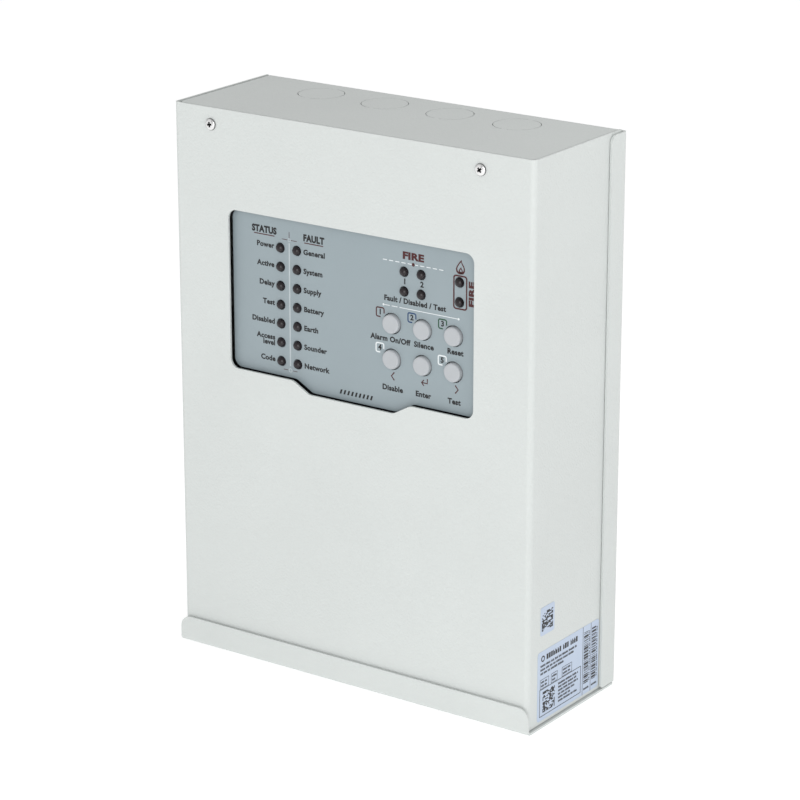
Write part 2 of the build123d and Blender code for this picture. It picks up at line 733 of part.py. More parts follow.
def main():
    os.makedirs("parts", exist_ok=True)
    status, zone, fire = led_sites()
    makers = {
        "base_tray": base_tray(),
        "knockout_blanks": knockout_blanks(),
        "clinch_nuts": clinch_nuts(),
        "cover": cover(),
        "rating_label": label(-74.2, -15.4, 3.4, 41.6, 1.6),
        "inspection_label": label(-72.0, -59.0, 50.2, 65.6, 1.2),
        "cover_screw_left": cover_screw(SCREW_X[0]),
        "cover_screw_right": cover_screw(SCREW_X[1]),
        "display_bracket": display_bracket(),
        "bracket_screws": bracket_screws(),
        "fascia_plate": fascia_plate(),
        "overlay": overlay(),
        "status_leds": [led(x, z) for x, z in status],
        "zone_leds": [led(x, z) for x, z in zone],
        "fire_leds": [led(x, z) for x, z in fire],
        "display_pcb": display_pcb(),
        "display_spacers": display_spacers(),
        "display_screws": display_screws(),
        "tact_switches": tact_switches(),
        "display_header": box_header(0, 158, DPCB_FRONT + PCB_T, -61.4),
        "ribbon_cable": ribbon_cable(),
        "main_header": box_header(0, 132.6, -21.6, MPCB_FRONT),
        "main_pcb": main_pcb(),
        "board_standoffs": board_standoffs(),
        "board_screws": board_screws(),
        "zone_terminals": zone_terminals(),
        "sounder_terminals": sounder_terminals(),
        "mains_terminal": mains_terminal(),
        "terminal_screws": terminal_screws(),
        "fuse_holder": fuse_holder(),
        "fuse": fuse(),
        "relays": relays(),
        "processor": processor(),
        "capacitors": capacitors(),
        "heatsink": heatsink(),
        "regulator": regulator(),
        "buzzer": buzzer(),
        "battery_connector": battery_connector(),
        "supply_socket": supply_socket(),
        "transformer_core": transformer_core(),
        "transformer_coil": transformer_coil(),
        "transformer_frame": transformer_frame(),
        "transformer_screws": transformer_screws(),
        "transformer_leads": transformer_leads(),
        "battery_case": battery_case(),
        "battery_terminals": battery_terminals(),
        "faston_connectors": faston_connectors(),
        "battery_strap": battery_strap(),
        "strap_screw": strap_screw(),
        "battery_lead_red": battery_lead_red(),
        "battery_lead_black": battery_lead_black(),
        "earth_stud": earth_stud(),
        "earth_nuts": earth_nuts(),
        "earth_lead": earth_lead(),
    }
    for k, (x, z) in enumerate(button_sites()):
        makers[f"button_{k + 1}"] = button(x, z)
    for name, shape in makers.items():
        save(name, shape)


main()
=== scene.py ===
"""Looks of a wall-mounted fire alarm control panel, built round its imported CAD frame."""

import json
import math
import random

import bmesh
import bpy
from mathutils import Matrix, Vector

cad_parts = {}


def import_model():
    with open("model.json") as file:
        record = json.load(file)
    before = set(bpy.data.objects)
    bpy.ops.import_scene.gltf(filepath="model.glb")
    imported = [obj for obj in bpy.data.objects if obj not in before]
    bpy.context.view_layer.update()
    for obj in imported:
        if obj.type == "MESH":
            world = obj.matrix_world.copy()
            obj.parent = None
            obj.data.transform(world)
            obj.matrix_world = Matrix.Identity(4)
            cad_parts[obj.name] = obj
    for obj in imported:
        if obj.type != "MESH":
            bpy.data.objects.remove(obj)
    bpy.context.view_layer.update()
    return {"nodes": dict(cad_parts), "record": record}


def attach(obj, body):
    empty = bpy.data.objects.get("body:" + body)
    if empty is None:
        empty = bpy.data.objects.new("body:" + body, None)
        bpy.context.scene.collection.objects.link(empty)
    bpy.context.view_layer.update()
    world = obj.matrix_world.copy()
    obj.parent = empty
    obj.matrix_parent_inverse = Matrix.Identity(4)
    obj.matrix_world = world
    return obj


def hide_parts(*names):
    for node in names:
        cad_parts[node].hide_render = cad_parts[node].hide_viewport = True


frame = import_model()

NODES = frame["nodes"]
SLOT_OF = {part["node"]: part["material_slot"] for part in frame["record"]["subparts"]}

# places in the part's frame, in millimetres: +Y into the wall, +Z up, -Y to the reader
MM = 0.001
WALL_Y = 42.4               # back of the case, on the wall
OVERLAY_Y = WALL_Y - 79.2   # printed face of the operator panel
COVER_Y = WALL_Y - 83.0     # front of the cover
BOARD_Y = WALL_Y - 10.8     # component side of the main board
BATTERY_Y = WALL_Y - 67.5   # front of the battery
LABEL_X = 111.15            # printed face of the side labels
INK_T = 0.05                # thickness of the overlay's and labels' ink
SILK_T = 0.06               # thickness of a board's or battery's print

PAINT = (0.590, 0.618, 0.606)
OVERLAY = (0.272, 0.326, 0.350)
PAPER = (0.93, 0.93, 0.93)

random.seed(7)


# ---------------------------------------------------------------- materials
M = {}


def new_material(name, color, rough, metal=0.0, **sockets):
    """A Principled material; sockets are set as plain numbers."""
    m = bpy.data.materials.new(name)
    m.use_nodes = True
    bsdf = principled(m)
    bsdf.inputs["Base Color"].default_value = (*color, 1.0)
    bsdf.inputs["Roughness"].default_value = rough
    bsdf.inputs["Metallic"].default_value = metal
    for key, value in sockets.items():
        bsdf.inputs[key.replace("_", " ")].default_value = value
    M[name] = m
    return m


def principled(m):
    return m.node_tree.nodes["Principled BSDF"]


def add(m, kind, **inputs):
    node = m.node_tree.nodes.new(kind)
    for key, value in inputs.items():
        node.inputs[key.replace("_", " ")].default_value = value
    return node


def link(m, a, out, b, into):
    m.node_tree.links.new(a.outputs[out], b.inputs[into])


def mottled(m, color, spread, scale, detail=4.0):
    """Colour that drifts a little over the surface. Returns the coordinates it uses."""
    coord = add(m, "ShaderNodeTexCoord")
    noise = add(m, "ShaderNodeTexNoise", Scale=scale, Detail=detail)
    ramp = add(m, "ShaderNodeValToRGB")
    darker = [c * (1 - spread) for c in color]
    lighter = [min(1.0, c * (1 + spread)) for c in color]
    for stop, place, shade_of in zip(ramp.color_ramp.elements, (0.3, 0.7), (darker, lighter)):
        stop.position = place
        stop.color = (*shade_of, 1)
    link(m, coord, "Object", noise, "Vector")
    link(m, noise, "Fac", ramp, "Fac")
    link(m, ramp, "Color", principled(m), "Base Color")
    return coord


def rough_grain(m, coord, lo, hi, scale):
    """Roughness that wanders between two values."""
    noise = add(m, "ShaderNodeTexNoise", Scale=scale, Detail=3.0)
    span = add(m, "ShaderNodeMapRange", To_Min=lo, To_Max=hi)
    link(m, coord, "Object", noise, "Vector")
    link(m, noise, "Fac", span, "Value")
    link(m, span, "Result", principled(m), "Roughness")


def bump(m, coord, scale, strength, distance, stretch=None):
    """Fine relief; a small number in stretch draws the grain out along that axis."""
    source, out = coord, "Object"
    if stretch:
        source, out = add(m, "ShaderNodeMapping", Scale=stretch), "Vector"
        link(m, coord, "Object", source, "Vector")
    noise = add(m, "ShaderNodeTexNoise", Scale=scale, Detail=2.0)
    relief = add(m, "ShaderNodeBump", Strength=strength, Distance=distance)
    link(m, source, out, noise, "Vector")
    link(m, noise, "Fac", relief, "Height")
    link(m, relief, "Normal", principled(m), "Normal")


def grained(name, color, rough, spread=0.05, scale=60.0, grain=1500.0, strength=0.15,
            distance=0.0001, metal=0.0, stretch=None, span=0.06, **sockets):
    """Drifting colour (spread, scale), uneven roughness (span) and a fine surface grain."""
    m = new_material(name, color, rough, metal, **sockets)
    coord = mottled(m, color, spread, scale)
    rough_grain(m, coord, max(0.02, rough - span), rough + span, scale * 3)
    bump(m, coord, grain, strength, distance, stretch)


def powder_coat(name):
    """Pale grey polyester powder: fine orange peel, with a faint satin sheen."""
    m = new_material(name, PAINT, 0.42)
    coord = mottled(m, PAINT, spread=0.018, scale=14.0, detail=3.0)
    rough_grain(m, coord, 0.36, 0.50, scale=260.0)
    bump(m, coord, scale=900.0, strength=0.65, distance=0.00034)


powder_coat("case_paint")
# colour, roughness, then colour spread and scale, grain scale, strength and depth
grained("screw_bright", (0.74, 0.74, 0.74), 0.17, 0.08, 200, 3000, 0.08, 0.00005, metal=1.0,
        span=0.05)
# dark metal for the back of the screw head and the shank: painted shade, not a different finish
grained("screw_rim_painted_shade", (0.22, 0.22, 0.225), 0.3, 0.1, 200, 3000, 0.1, metal=1.0)
# the cross recess is coloured near-black: painted shade in the hollow, where the real recess is
# the same metal as the head
grained("screw_recess_painted_shade", (0.012, 0.012, 0.013), 0.5, 0.2, 300, 3000, 0.1)
grained("pcb_black", (0.010, 0.011, 0.012), 0.34, 0.2, 160, 1400, 0.2)
grained("zinc", (0.55, 0.57, 0.58), 0.34, 0.16, 90, 1800, 0.12, 0.00006, metal=1.0)
grained("label_film", (0.458, 0.536, 0.660), 0.34, 0.02, 40, 2600, 0.05)
grained("fascia_plastic", (0.20, 0.225, 0.235), 0.5, 0.05, 50, 2500, 0.2)
grained("overlay_print", OVERLAY, 0.40, 0.015, 30, 4200, 0.16, 0.00004)
grained("led_lens", (0.011, 0.007, 0.009), 0.17, 0.15, 300, 900, 0.02, Specular_IOR_Level=0.42)
grained("key_plastic", (0.420, 0.440, 0.460), 0.36, 0.01, 120, 3000, 0.05, 0.00004, span=0.015)
grained("pcb", (0.012, 0.120, 0.045), 0.30, 0.18, 160, 1400, 0.25, 0.00005)
grained("black_plastic", (0.016, 0.016, 0.017), 0.42, 0.15, 90, 2600, 0.2)
grained("nylon", (0.66, 0.64, 0.56), 0.42, 0.04, 120, 2000, 0.12, Subsurface_Weight=0.05)
grained("ribbon_sheath", (0.30, 0.31, 0.33), 0.48, 0.04, 120, 787, 0.5, 0.0002,
        stretch=(1, 0.01, 0.01))
grained("brass_parts", (0.62, 0.42, 0.16), 0.26, 0.12, 150, 2200, 0.1, metal=1.0)
grained("terminal_green", (0.018, 0.175, 0.055), 0.42, 0.08, 120, 2400, 0.18)
grained("terminal_grey", (0.20, 0.21, 0.215), 0.45, 0.06, 120, 2400, 0.18)
grained("fuse_glass", (0.60, 0.66, 0.66), 0.12, 0.05, 200, 800, 0.03, metal=0.4)
grained("relay_case", (0.020, 0.080, 0.240), 0.25, 0.08, 120, 2200, 0.08)
grained("cap_sleeve", (0.012, 0.020, 0.060), 0.24, 0.15, 150, 1800, 0.06)
grained("heatsink_black", (0.020, 0.020, 0.022), 0.38, 0.2, 120, 2500, 0.2, metal=0.6,
        stretch=(1, 0.05, 1))
grained("lamination", (0.060, 0.058, 0.060), 0.40, 0.25, 100, 2000, 0.6, 0.0002, metal=0.7,
        stretch=(0.01, 1, 0.01))
grained("coil_tape", (0.52, 0.36, 0.055), 0.34, 0.08, 90, 900, 0.15)
grained("lead_yellow", (0.62, 0.44, 0.03), 0.38, 0.06, 200, 2500, 0.1)
grained("battery_abs", (0.022, 0.022, 0.024), 0.40, 0.2, 60, 1600, 0.25)
grained("tinned", (0.62, 0.62, 0.60), 0.3, 0.1, 200, 2500, 0.1, metal=1.0)
grained("lead_red", (0.42, 0.012, 0.012), 0.36, 0.06, 200, 2500, 0.1)
grained("lead_black", (0.012, 0.012, 0.012), 0.36, 0.15, 200, 2500, 0.1)
grained("lead_green", (0.08, 0.30, 0.03), 0.36, 0.3, 260, 2500, 0.1)
grained("ink_black", (0.003, 0.003, 0.004), 0.46, 0.1, 200, 3000, 0.05)
grained("ink_red", (0.055, 0.001, 0.002), 0.46, 0.06, 200, 3000, 0.05)
grained("ink_white", (0.72, 0.76, 0.77), 0.46, 0.03, 200, 3000, 0.05)
grained("ink_pale", (0.46, 0.51, 0.53), 0.46, 0.03, 200, 3000, 0.05)
grained("ink_blue", (0.001, 0.038, 0.125), 0.46, 0.06, 200, 3000, 0.05)
grained("ink_green", (0.002, 0.060, 0.022), 0.46, 0.06, 200, 3000, 0.05)
grained("silk_white", (0.62, 0.64, 0.60), 0.6, 0.06, 200, 3000, 0.1)
grained("solder", (0.56, 0.57, 0.58), 0.24, 0.12, 300, 1800, 0.2, metal=1.0)
grained("chip_black", (0.014, 0.014, 0.015), 0.5, 0.2, 200, 3000, 0.2)
grained("ceramic_tan", (0.34, 0.22, 0.11), 0.42, 0.12, 300, 2600, 0.1)


# ---------------------------------------------------------------- mesh helpers
class Shape:
    """Gathers closed solids, in millimetres in the part's frame, into one piece."""

    def __init__(self):
        self.bm = bmesh.new()

    def box(self, x0, x1, y0, y1, z0, z1, bevel=0.0):
        """Adds a box and returns its vertices."""
        start = set(self.bm.verts)
        made = bmesh.ops.create_cube(self.bm, size=1.0)["verts"]
        for v in made:
            v.co = Vector((
                (x0 + x1) / 2 + v.co.x * (x1 - x0),
                (y0 + y1) / 2 + v.co.y * (y1 - y0),
                (z0 + z1) / 2 + v.co.z * (z1 - z0),
            ))
        if bevel:
            edges = list({e for v in made for e in v.link_edges})
            bmesh.ops.bevel(self.bm, geom=edges, offset=bevel, segments=2, profile=0.7,
                            affect="EDGES")
        return [v for v in self.bm.verts if v not in start]

    def lathe(self, profile, origin, steps):
        """Turns (radius, depth) pairs about a line along Y; both ends close on the line."""
        x, y, z = origin
        rings = []
        for r, depth in profile:
            if r == 0:
                rings.append([self.bm.verts.new((x, y + depth, z))])
                continue
            ring = []
            for k in range(steps):
                a = 2 * math.pi * k / steps
                point = (x + r * math.cos(a), y + depth, z - r * math.sin(a))
                ring.append(self.bm.verts.new(point))
            rings.append(ring)
        for low, high in zip(rings, rings[1:]):
            for k in range(steps):
                j = (k + 1) % steps
                quad = [low[k % len(low)], low[j % len(low)], high[j % len(high)],
                        high[k % len(high)]]
                corners = list(dict.fromkeys(quad))
                if len(corners) > 2:
                    self.bm.faces.new(corners)

    def plate(self, loops, to_world, thick=INK_T):
        """Extrudes closed 2D loops (first outer, others holes) by thick along the local Z."""
        curve = bpy.data.curves.new("tmp", "CURVE")
        curve.dimensions = "2D"
        curve.fill_mode = "BOTH"
        curve.extrude = thick / 2
        for loop in loops:
            spline = curve.splines.new("POLY")
            spline.points.add(len(loop) - 1)
            spline.use_cyclic_u = True
            for point, (a, b) in zip(spline.points, loop):
                point.co = (a, b, 0, 1)
        self.take(curve, to_world)

    def text(self, words, at, size, to_plane, align="CENTER", thick=INK_T, stretch=1.0,
             weight=0.04):
        """Built-in font text, its middle (or end) at the point given on the plane."""
        font = bpy.data.curves.new("tmp", "FONT")
        font.body = words
        font.size = size
        font.extrude = thick / 2
        font.resolution_u = 3
        font.align_x = align
        font.align_y = "CENTER"
        font.space_character = 1.06
        font.space_line = 0.8
        font.offset = weight * size
        self.take(font, to_plane @ Matrix.Translation((*at, 0)) @ Matrix.Diagonal(
            (stretch, 1, 1, 1)))

    def take(self, data, to_world):
        """Adds the mesh of a curve or a text."""
        obj = bpy.data.objects.new("tmp", data)
        bpy.context.scene.collection.objects.link(obj)
        mesh = evaluated_mesh(obj)
        bpy.data.objects.remove(obj)
        mesh.transform(to_world)
        self.bm.from_mesh(mesh)
        bpy.data.meshes.remove(mesh)

    def finish(self, name, material, body, smooth=0.0):
        """Makes the object, in metres and riding on its body. Smooth is an edge angle."""
        bmesh.ops.remove_doubles(self.bm, verts=self.bm.verts, dist=0.0004)
        bmesh.ops.recalc_face_normals(self.bm, faces=self.bm.faces)
        mesh = bpy.data.meshes.new(name)
        self.bm.to_mesh(mesh)
        self.bm.free()
        mesh.transform(Matrix.Scale(MM, 4))
        obj = bpy.data.objects.new(name, mesh)
        bpy.context.scene.collection.objects.link(obj)
        mesh.materials.append(M[material])
        if smooth:
            shade(obj, smooth)
        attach(obj, body)
        return obj


def evaluated_mesh(obj):
    graph = bpy.context.evaluated_depsgraph_get()
    return bpy.data.meshes.new_from_object(obj.evaluated_get(graph))


def bake(obj):
    """Applies the modifiers of a piece made here."""
    mesh = evaluated_mesh(obj)
    obj.modifiers.clear()
    obj.data = mesh


def shade(obj, angle):
    """Smooth faces, with edges sharper than the angle kept crisp."""
    mesh = obj.data
    mesh.shade_smooth()
    bm = bmesh.new()
    bm.from_mesh(mesh)
    limit = math.radians(angle)
    for edge in bm.edges:
        edge.smooth = len(edge.link_faces) == 2 and edge.calc_face_angle(0.0) < limit
    bm.to_mesh(mesh)
    bm.free()


# planes on which graphics are drawn: local X, Y become the reader's right and up
def facing_reader(y):
    return Matrix(((1, 0, 0, 0), (0, 0, -1, y), (0, 1, 0, 0), (0, 0, 0, 1)))


FRONT = facing_reader(OVERLAY_Y - INK_T / 2)
SIDE = Matrix(((0, 0, 1, LABEL_X + INK_T / 2), (1, 0, 0, WALL_Y), (0, 1, 0, 0), (0, 0, 0, 1)))


def ring_loop(x, y, r, steps=32):
    return [(x + r * math.cos(2 * math.pi * k / steps), y + r * math.sin(2 * math.pi * k / steps))
            for k in range(steps)]


def arc_points(x, y, r, a0, a1, steps):
    return [(x + r * math.cos(math.radians(a0 + (a1 - a0) * k / steps)),
             y + r * math.sin(math.radians(a0 + (a1 - a0) * k / steps)))
            for k in range(steps + 1)]


def rect(x0, x1, y0, y1):
    return [(x0, y0), (x1, y0), (x1, y1), (x0, y1)]


def round_rect(x0, x1, y0, y1, r):
    loop = []
    for cx, cy, a in ((x1 - r, y0 + r, -90), (x1 - r, y1 - r, 0), (x0 + r, y1 - r, 90),
                      (x0 + r, y0 + r, 180)):
        loop += arc_points(cx, cy, r, a, a + 90, 6)
    return loop


def frame_loops(x0, x1, y0, y1, line):
    """The outer and inner edges of a ruled box."""
    return [rect(x0, x1, y0, y1), rect(x0 + line, x1 - line, y0 + line, y1 - line)]


def stroke(points, width):
    """A thin closed loop round an open line of points, for arrows and brackets."""
    left, right = [], []
    for i, (x, y) in enumerate(points):
        ax, ay = points[max(0, i - 1)]
        bx, by = points[min(len(points) - 1, i + 1)]
        dx, dy = bx - ax, by - ay
        d = math.hypot(dx, dy) or 1.0
        nx, ny = -dy / d * width / 2, dx / d * width / 2
        left.append((x + nx, y + ny))
        right.append((x - nx, y - ny))
    return left + right[::-1]


def inner_loop(loop, k):
    """The loop drawn towards its middle by the factor k."""
    cx = sum(p[0] for p in loop) / len(loop)
    cy = sum(p[1] for p in loop) / len(loop)
    return [(cx + (x - cx) * k, cy + (y - cy) * k) for x, y in loop]


# ---------------------------------------------------------------- CAD nodes
EDGES = {                   # bevel of each CAD node whose edges catch the light, mm
    "cover": 0.22, "base_tray": 0.22, "knockout_blanks": 0.12, "fascia_plate": 0.15,
    "display_bracket": 0.2, "battery_strap": 0.2, "transformer_frame": 0.2,
    "zone_terminals": 0.15, "sounder_terminals": 0.15, "mains_terminal": 0.2, "heatsink": 0.15,
    "regulator": 0.15, "fuse_holder": 0.12, "tact_switches": 0.1, "earth_nuts": 0.2,
    "board_standoffs": 0.1, "transformer_core": 0.15,
}


def dress_frame():
    """Gives each CAD node its slot's material, and a fine bevel where it has one."""
    for name, obj in NODES.items():
        obj.data.materials.clear()
        obj.data.materials.append(M[SLOT_OF[name]])
        if name in EDGES:
            mod = obj.modifiers.new("edge", "BEVEL")
            mod.width = EDGES[name] * MM
            mod.segments = 2
            mod.limit_method = "ANGLE"
            mod.angle_limit = math.radians(40)
            mod.harden_normals = False
            mod.use_clamp_overlap = True


# ---------------------------------------------------------------- operator panel
LED_COLS = (-45.7, -35.2)
LED_Z = [231.1 - 10.16 * k for k in range(7)]
ZONE_X = (31.8, 42.2)
ZONE_Z = (231.0, 220.7)
FIRE_X = 65.3
LAMP_R, LAMP_RIM_R = 2.5, 2.9
LAMP_RIM, LAMP_FOOT = 7.7, 8.7          # depths of the rim and the foot behind the tip
LAMP_PROUD = 2.3
LEAD_HALF, LEAD_X = 0.25, 1.27

KEY_X = (24.4, 43.2, 62.0)
KEY_Z = (202.6, 183.8)
KEY_PROUD = 2.0
# dished face, rolled rim, straight side, flange behind the overlay and the switch post
KEY_PROFILE = [(0, 0.07), (3.1, 0.05), (4.2, 0.0), (4.5, 0.06), (4.75, 0.22), (4.92, 0.46),
               (5.0, 0.8), (5.0, 4.6), (6.2, 4.6), (6.2, 5.4), (1.7, 5.4), (1.7, 7.0), (0, 7.0)]


def keys():
    """Round moulded keys: a flat, faintly dished face, a small rolled rim and a straight side."""
    sites = [(x, z) for z in KEY_Z for x in KEY_X]
    for number, (x, z) in enumerate(sites, 1):
        shape = Shape()
        shape.lathe(KEY_PROFILE, (x, OVERLAY_Y - KEY_PROUD, z), steps=64)
        obj = shape.finish(f"key_cap_{number}", "key_plastic", f"key_{number}", 38)
        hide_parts(f"button_{number}")


def lamps():
    """Smoked epoxy lamps: domed lens, rim at the foot and two leads."""
    tip = OVERLAY_Y - LAMP_PROUD
    angles = [math.radians(9 * k) for k in range(1, 11)]
    dome = [(LAMP_R * math.sin(a), LAMP_R - LAMP_R * math.cos(a)) for a in angles]
    profile = [(0, 0)] + dome + [(LAMP_R, LAMP_RIM), (LAMP_RIM_R, LAMP_RIM),
                                 (LAMP_RIM_R, LAMP_FOOT), (0, LAMP_FOOT)]
    groups = {
        "status_leds": [(x, z) for x in LED_COLS for z in LED_Z],
        "zone_leds": [(x, z) for x in ZONE_X for z in ZONE_Z],
        "fire_leds": [(FIRE_X, z) for z in ZONE_Z],
    }
    for node, sites in groups.items():
        shape = Shape()
        for x, z in sites:
            shape.lathe(profile, (x, tip, z), steps=40)
            for lead in (x - LEAD_X, x + LEAD_X):
                shape.box(lead - LEAD_HALF, lead + LEAD_HALF, tip + 8.6, tip + 10.0,
                          z - LEAD_HALF, z + LEAD_HALF)
        obj = shape.finish(f"{node}_lens", "led_lens", "base", 35)
        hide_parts(node)


LEGEND, KEY_LEGEND, HEADING = 3.85, 3.95, 4.8    # letter sizes, mm
BOLD = 0.055                                     # stroke weight of a heading


def flame(x, z, w, h):
    """A plain flame sign, as an outline."""
    right = [(0.0, 0.0), (0.30, 0.04), (0.46, 0.22), (0.46, 0.42), (0.36, 0.60), (0.22, 0.74),
             (0.14, 0.88), (0.12, 1.0)]
    left = [(-0.06, 0.86), (-0.20, 0.72), (-0.36, 0.54), (-0.46, 0.36), (-0.42, 0.16),
            (-0.24, 0.03)]
    return [(x + a * w, z - h / 2 + b * h) for a, b in right + left]


def tag(inks, color, x, z, digit):
    """A digit in a rounded square that is left open towards its key."""
    half, corner, line = 2.4, 0.9, 0.68
    reach = half - corner
    path = [(x + half, z - 0.4)] + arc_points(x + reach, z + reach, corner, 0, 90, 5)
    path += arc_points(x - reach, z + reach, corner, 90, 180, 5)
    path += arc_points(x - reach, z - reach, corner, 180, 270, 5) + [(x + 0.2, z - half)]
    inks[color].plate([stroke(path, line)], FRONT)
    inks["black"].text(digit, (x, z + 0.05), 3.9, FRONT)


def status_field(inks):
    """Two headings, a centre line and a legend beside each lamp."""
    red, pale, black = inks["red"], inks["pale"], inks["black"]
    for words, x, z, half in (("STATUS", -56.0, 239.2, 6.6), ("FAULT", -24.4, 238.6, 6.0)):
        black.text(words, (x, z), HEADING, FRONT, stretch=0.9, weight=BOLD)
        red.plate([rect(x - half, x + half, z - 2.8, z - 2.3)], FRONT)
    middle, head, foot, hair = -40.0, 236.0, 166.0, 0.15
    for x0, x1 in ((-44.6, -41.0), (-39.0, -35.2)):
        red.plate([rect(x0, x1, head - hair, head + hair)], FRONT)
    red.plate([rect(middle - hair, middle + hair, 237.0, 240.2)], FRONT)
    pale.plate([ring_loop(middle, head, 0.95), ring_loop(middle, head, 0.66)], FRONT)
    pale.plate([rect(middle - 0.35, middle + 0.35, 168.4, 234.4)], FRONT)
    pale.plate([ring_loop(middle, foot, 1.1), ring_loop(middle, foot, 0.75)], FRONT)
    for x in (-44.4, -38.4):
        red.plate([rect(x, x + 2.8, foot - hair, foot + hair)], FRONT)
    left = ("Power", "Active", "Delay", "Test", "Disabled", "Access\nlevel", "Code")
    right = ("General", "System", "Supply", "Battery", "Earth", "Sounder", "Network")
    for k, z in enumerate(LED_Z):
        black.text(left[k], (-49.8, z + 0.3), LEGEND, FRONT, "RIGHT", stretch=1.04)
        black.text(right[k], (-31.0, z - 0.1), LEGEND, FRONT, "LEFT", stretch=1.04)


def alarm_field(inks):
    """Zone lamps with their digits and legend, and the fire lamps in their frame."""
    red, white, black = inks["red"], inks["white"], inks["black"]
    red.text("FIRE", (37.3, 239.4), 5.0, FRONT, stretch=1.35, weight=BOLD)
    dash, gap = 2.5, 1.3
    for k in range(10):
        x0 = 18.8 + k * (dash + gap)
        white.plate([rect(x0, x0 + dash, 235.35, 235.75)], FRONT)
    red.plate([ring_loop(37.4, 235.5, 0.95)], FRONT)
    for digit, x in (("1", 32.2), ("2", 42.7)):
        black.text(digit, (x, 225.9), 4.0, FRONT)
    black.text("Fault / Disabled / Test", (38.3, 215.6), LEGEND, FRONT, stretch=1.02)
    for x0, x1 in ((19.4, 23.0), (24.2, 27.8), (29.0, 64.4)):
        white.plate([rect(x0, x1, 211.75, 212.1)], FRONT)
    for x in (19.2, 64.8):
        white.plate([ring_loop(x, 211.9, 0.6)], FRONT)
    outer = flame(65.7, 238.9, 5.8, 7.6)
    core = flame(65.9, 237.3, 2.6, 3.4)
    red.plate([outer, inner_loop(outer, 0.72)], FRONT)
    red.plate([core, inner_loop(core, 0.45)], FRONT)
    red.plate([round_rect(61.5, 69.9, 216.9, 234.7, 1.6),
               round_rect(62.28, 69.12, 217.68, 233.92, 1.0)], FRONT)
    upright = FRONT @ Matrix.Translation((72.7, 225.8, 0)) @ Matrix.Rotation(math.pi / 2, 4, "Z")
    red.text("FIRE", (0, 0), 4.5, upright, stretch=1.5, weight=BOLD)


def key_field(inks):
    """Numbered tags, signs and legends round the keys."""
    red, black = inks["red"], inks["black"]
    for color, x, z, digit in (("red", 17.1, 207.5, "1"), ("blue", 36.6, 207.7, "2"),
                               ("green", 55.2, 207.7, "3"), ("white", 16.9, 188.7, "4"),
                               ("white", 55.1, 188.7, "5")):
        tag(inks, color, x, z, digit)
    for words, x, z in (("Alarm On/Off", 23.3, 194.1), ("Silence", 43.9, 194.2),
                        ("Reset", 62.9, 194.3), ("Disable", 24.7, 168.2),
                        ("Enter", 43.6, 168.3), ("Test", 62.4, 168.2)):
        black.text(words, (x, z), KEY_LEGEND, FRONT, stretch=1.02)
    for sign, x in ((-1, 24.9), (1, 63.9)):
        chevron = [(x - sign * 0.9, 177.0), (x + sign * 0.9, 174.9), (x - sign * 0.9, 172.8)]
        red.plate([stroke(chevron, 0.66)], FRONT)
    for path in ([(46.1, 177.2), (46.1, 174.8), (42.6, 174.8)],
                 [(44.0, 176.3), (42.5, 174.8), (44.0, 173.3)]):
        red.plate([stroke(path, 0.62)], FRONT)


def overlay_print():
    inks = {c: Shape() for c in ("black", "red", "white", "pale", "blue", "green")}
    status_field(inks)
    alarm_field(inks)
    key_field(inks)
    # a plain row of short slanted bars fills the step of the window
    for k in range(9):
        x0 = -8.6 + k * 2.4
        inks["black"].plate([[(x0, 159.4), (x0 + 1.1, 159.4), (x0 + 1.9, 161.8),
                              (x0 + 0.8, 161.8)]], FRONT)
    for color, shape in inks.items():
        obj = shape.finish(f"overlay_ink_{color}", f"ink_{color}", "base")


# ---------------------------------------------------------------- labels
def side_labels():
    """Generic printed rows, bars and cells; nothing on them can be read or scanned."""
    ink = Shape()
    y0, z0, z1 = -74.2, 3.4, 41.6       # the large label's front edge, foot and head
    for y in (y0 + 43.2, y0 + 51.0):
        ink.plate([rect(y, y + 0.28, z0, z1)], SIDE)
    for left, right in ((y0 + 44.4, y0 + 48.8), (y0 + 52.0, y0 + 56.0)):
        z = z0 + 6.0
        while z < z1 - 3.4:
            high = random.choice((0.32, 0.32, 0.55, 0.85, 1.15))
            ink.plate([rect(left, right, z, z + high)], SIDE)
            z += high + random.choice((0.35, 0.5, 0.75))
        letters(ink, left, left + 5.4, z0 + 3.0, 1.1)
    z = z0 + 6.5
    while z < z1 - 4:
        high = random.uniform(0.5, 0.9)
        for y in (y0 + 49.4, y0 + 56.6):
            ink.plate([rect(y, y + 0.75, z, z + high)], SIDE)
        z += high + random.choice((0.3, 0.3, 0.9))
    ink.plate(frame_loops(y0 + 2.0, y0 + 41.6, z0 + 2.2, z0 + 17.4, 0.35), SIDE)
    cells(ink, y0 + 5.0, z0 + 4.0, 16, 0.72)
    for row, wide in enumerate((19.0, 17.5, 19.5, 16.0, 12.0, 18.0)):
        letters(ink, y0 + 19.8, y0 + 19.8 + wide, z0 + 15.0 - row * 1.95, 1.15)
    letters(ink, y0 + 8.2, y0 + 38.5, z1 - 4.2, 2.9)
    ink.plate([ring_loop(y0 + 4.8, z1 - 4.2, 1.7), ring_loop(y0 + 4.8, z1 - 4.2, 1.0)], SIDE)
    for row, end in enumerate((37.5, 34.0, 25.0)):
        letters(ink, y0 + 2.6, y0 + end, z1 - 8.0 - row * 2.1, 1.2)
    for k, wide in enumerate((8.2, 6.0, 9.5)):
        left = y0 + 2.4 + k * 10.4
        ink.plate(frame_loops(left, left + wide, z1 - 20.6, z1 - 15.4, 0.25), SIDE)
        letters(ink, left + 0.9, left + wide - 0.8, z1 - 17.0, 1.1)
        letters(ink, left + 0.9, left + wide - 1.6, z1 - 19.0, 1.1)
    obj = ink.finish("rating_label_print", "ink_black", "cover")

    small = Shape()
    cells(small, -70.9, 52.6, 14, 0.74)
    obj = small.finish("inspection_label_print", "ink_black", "cover")


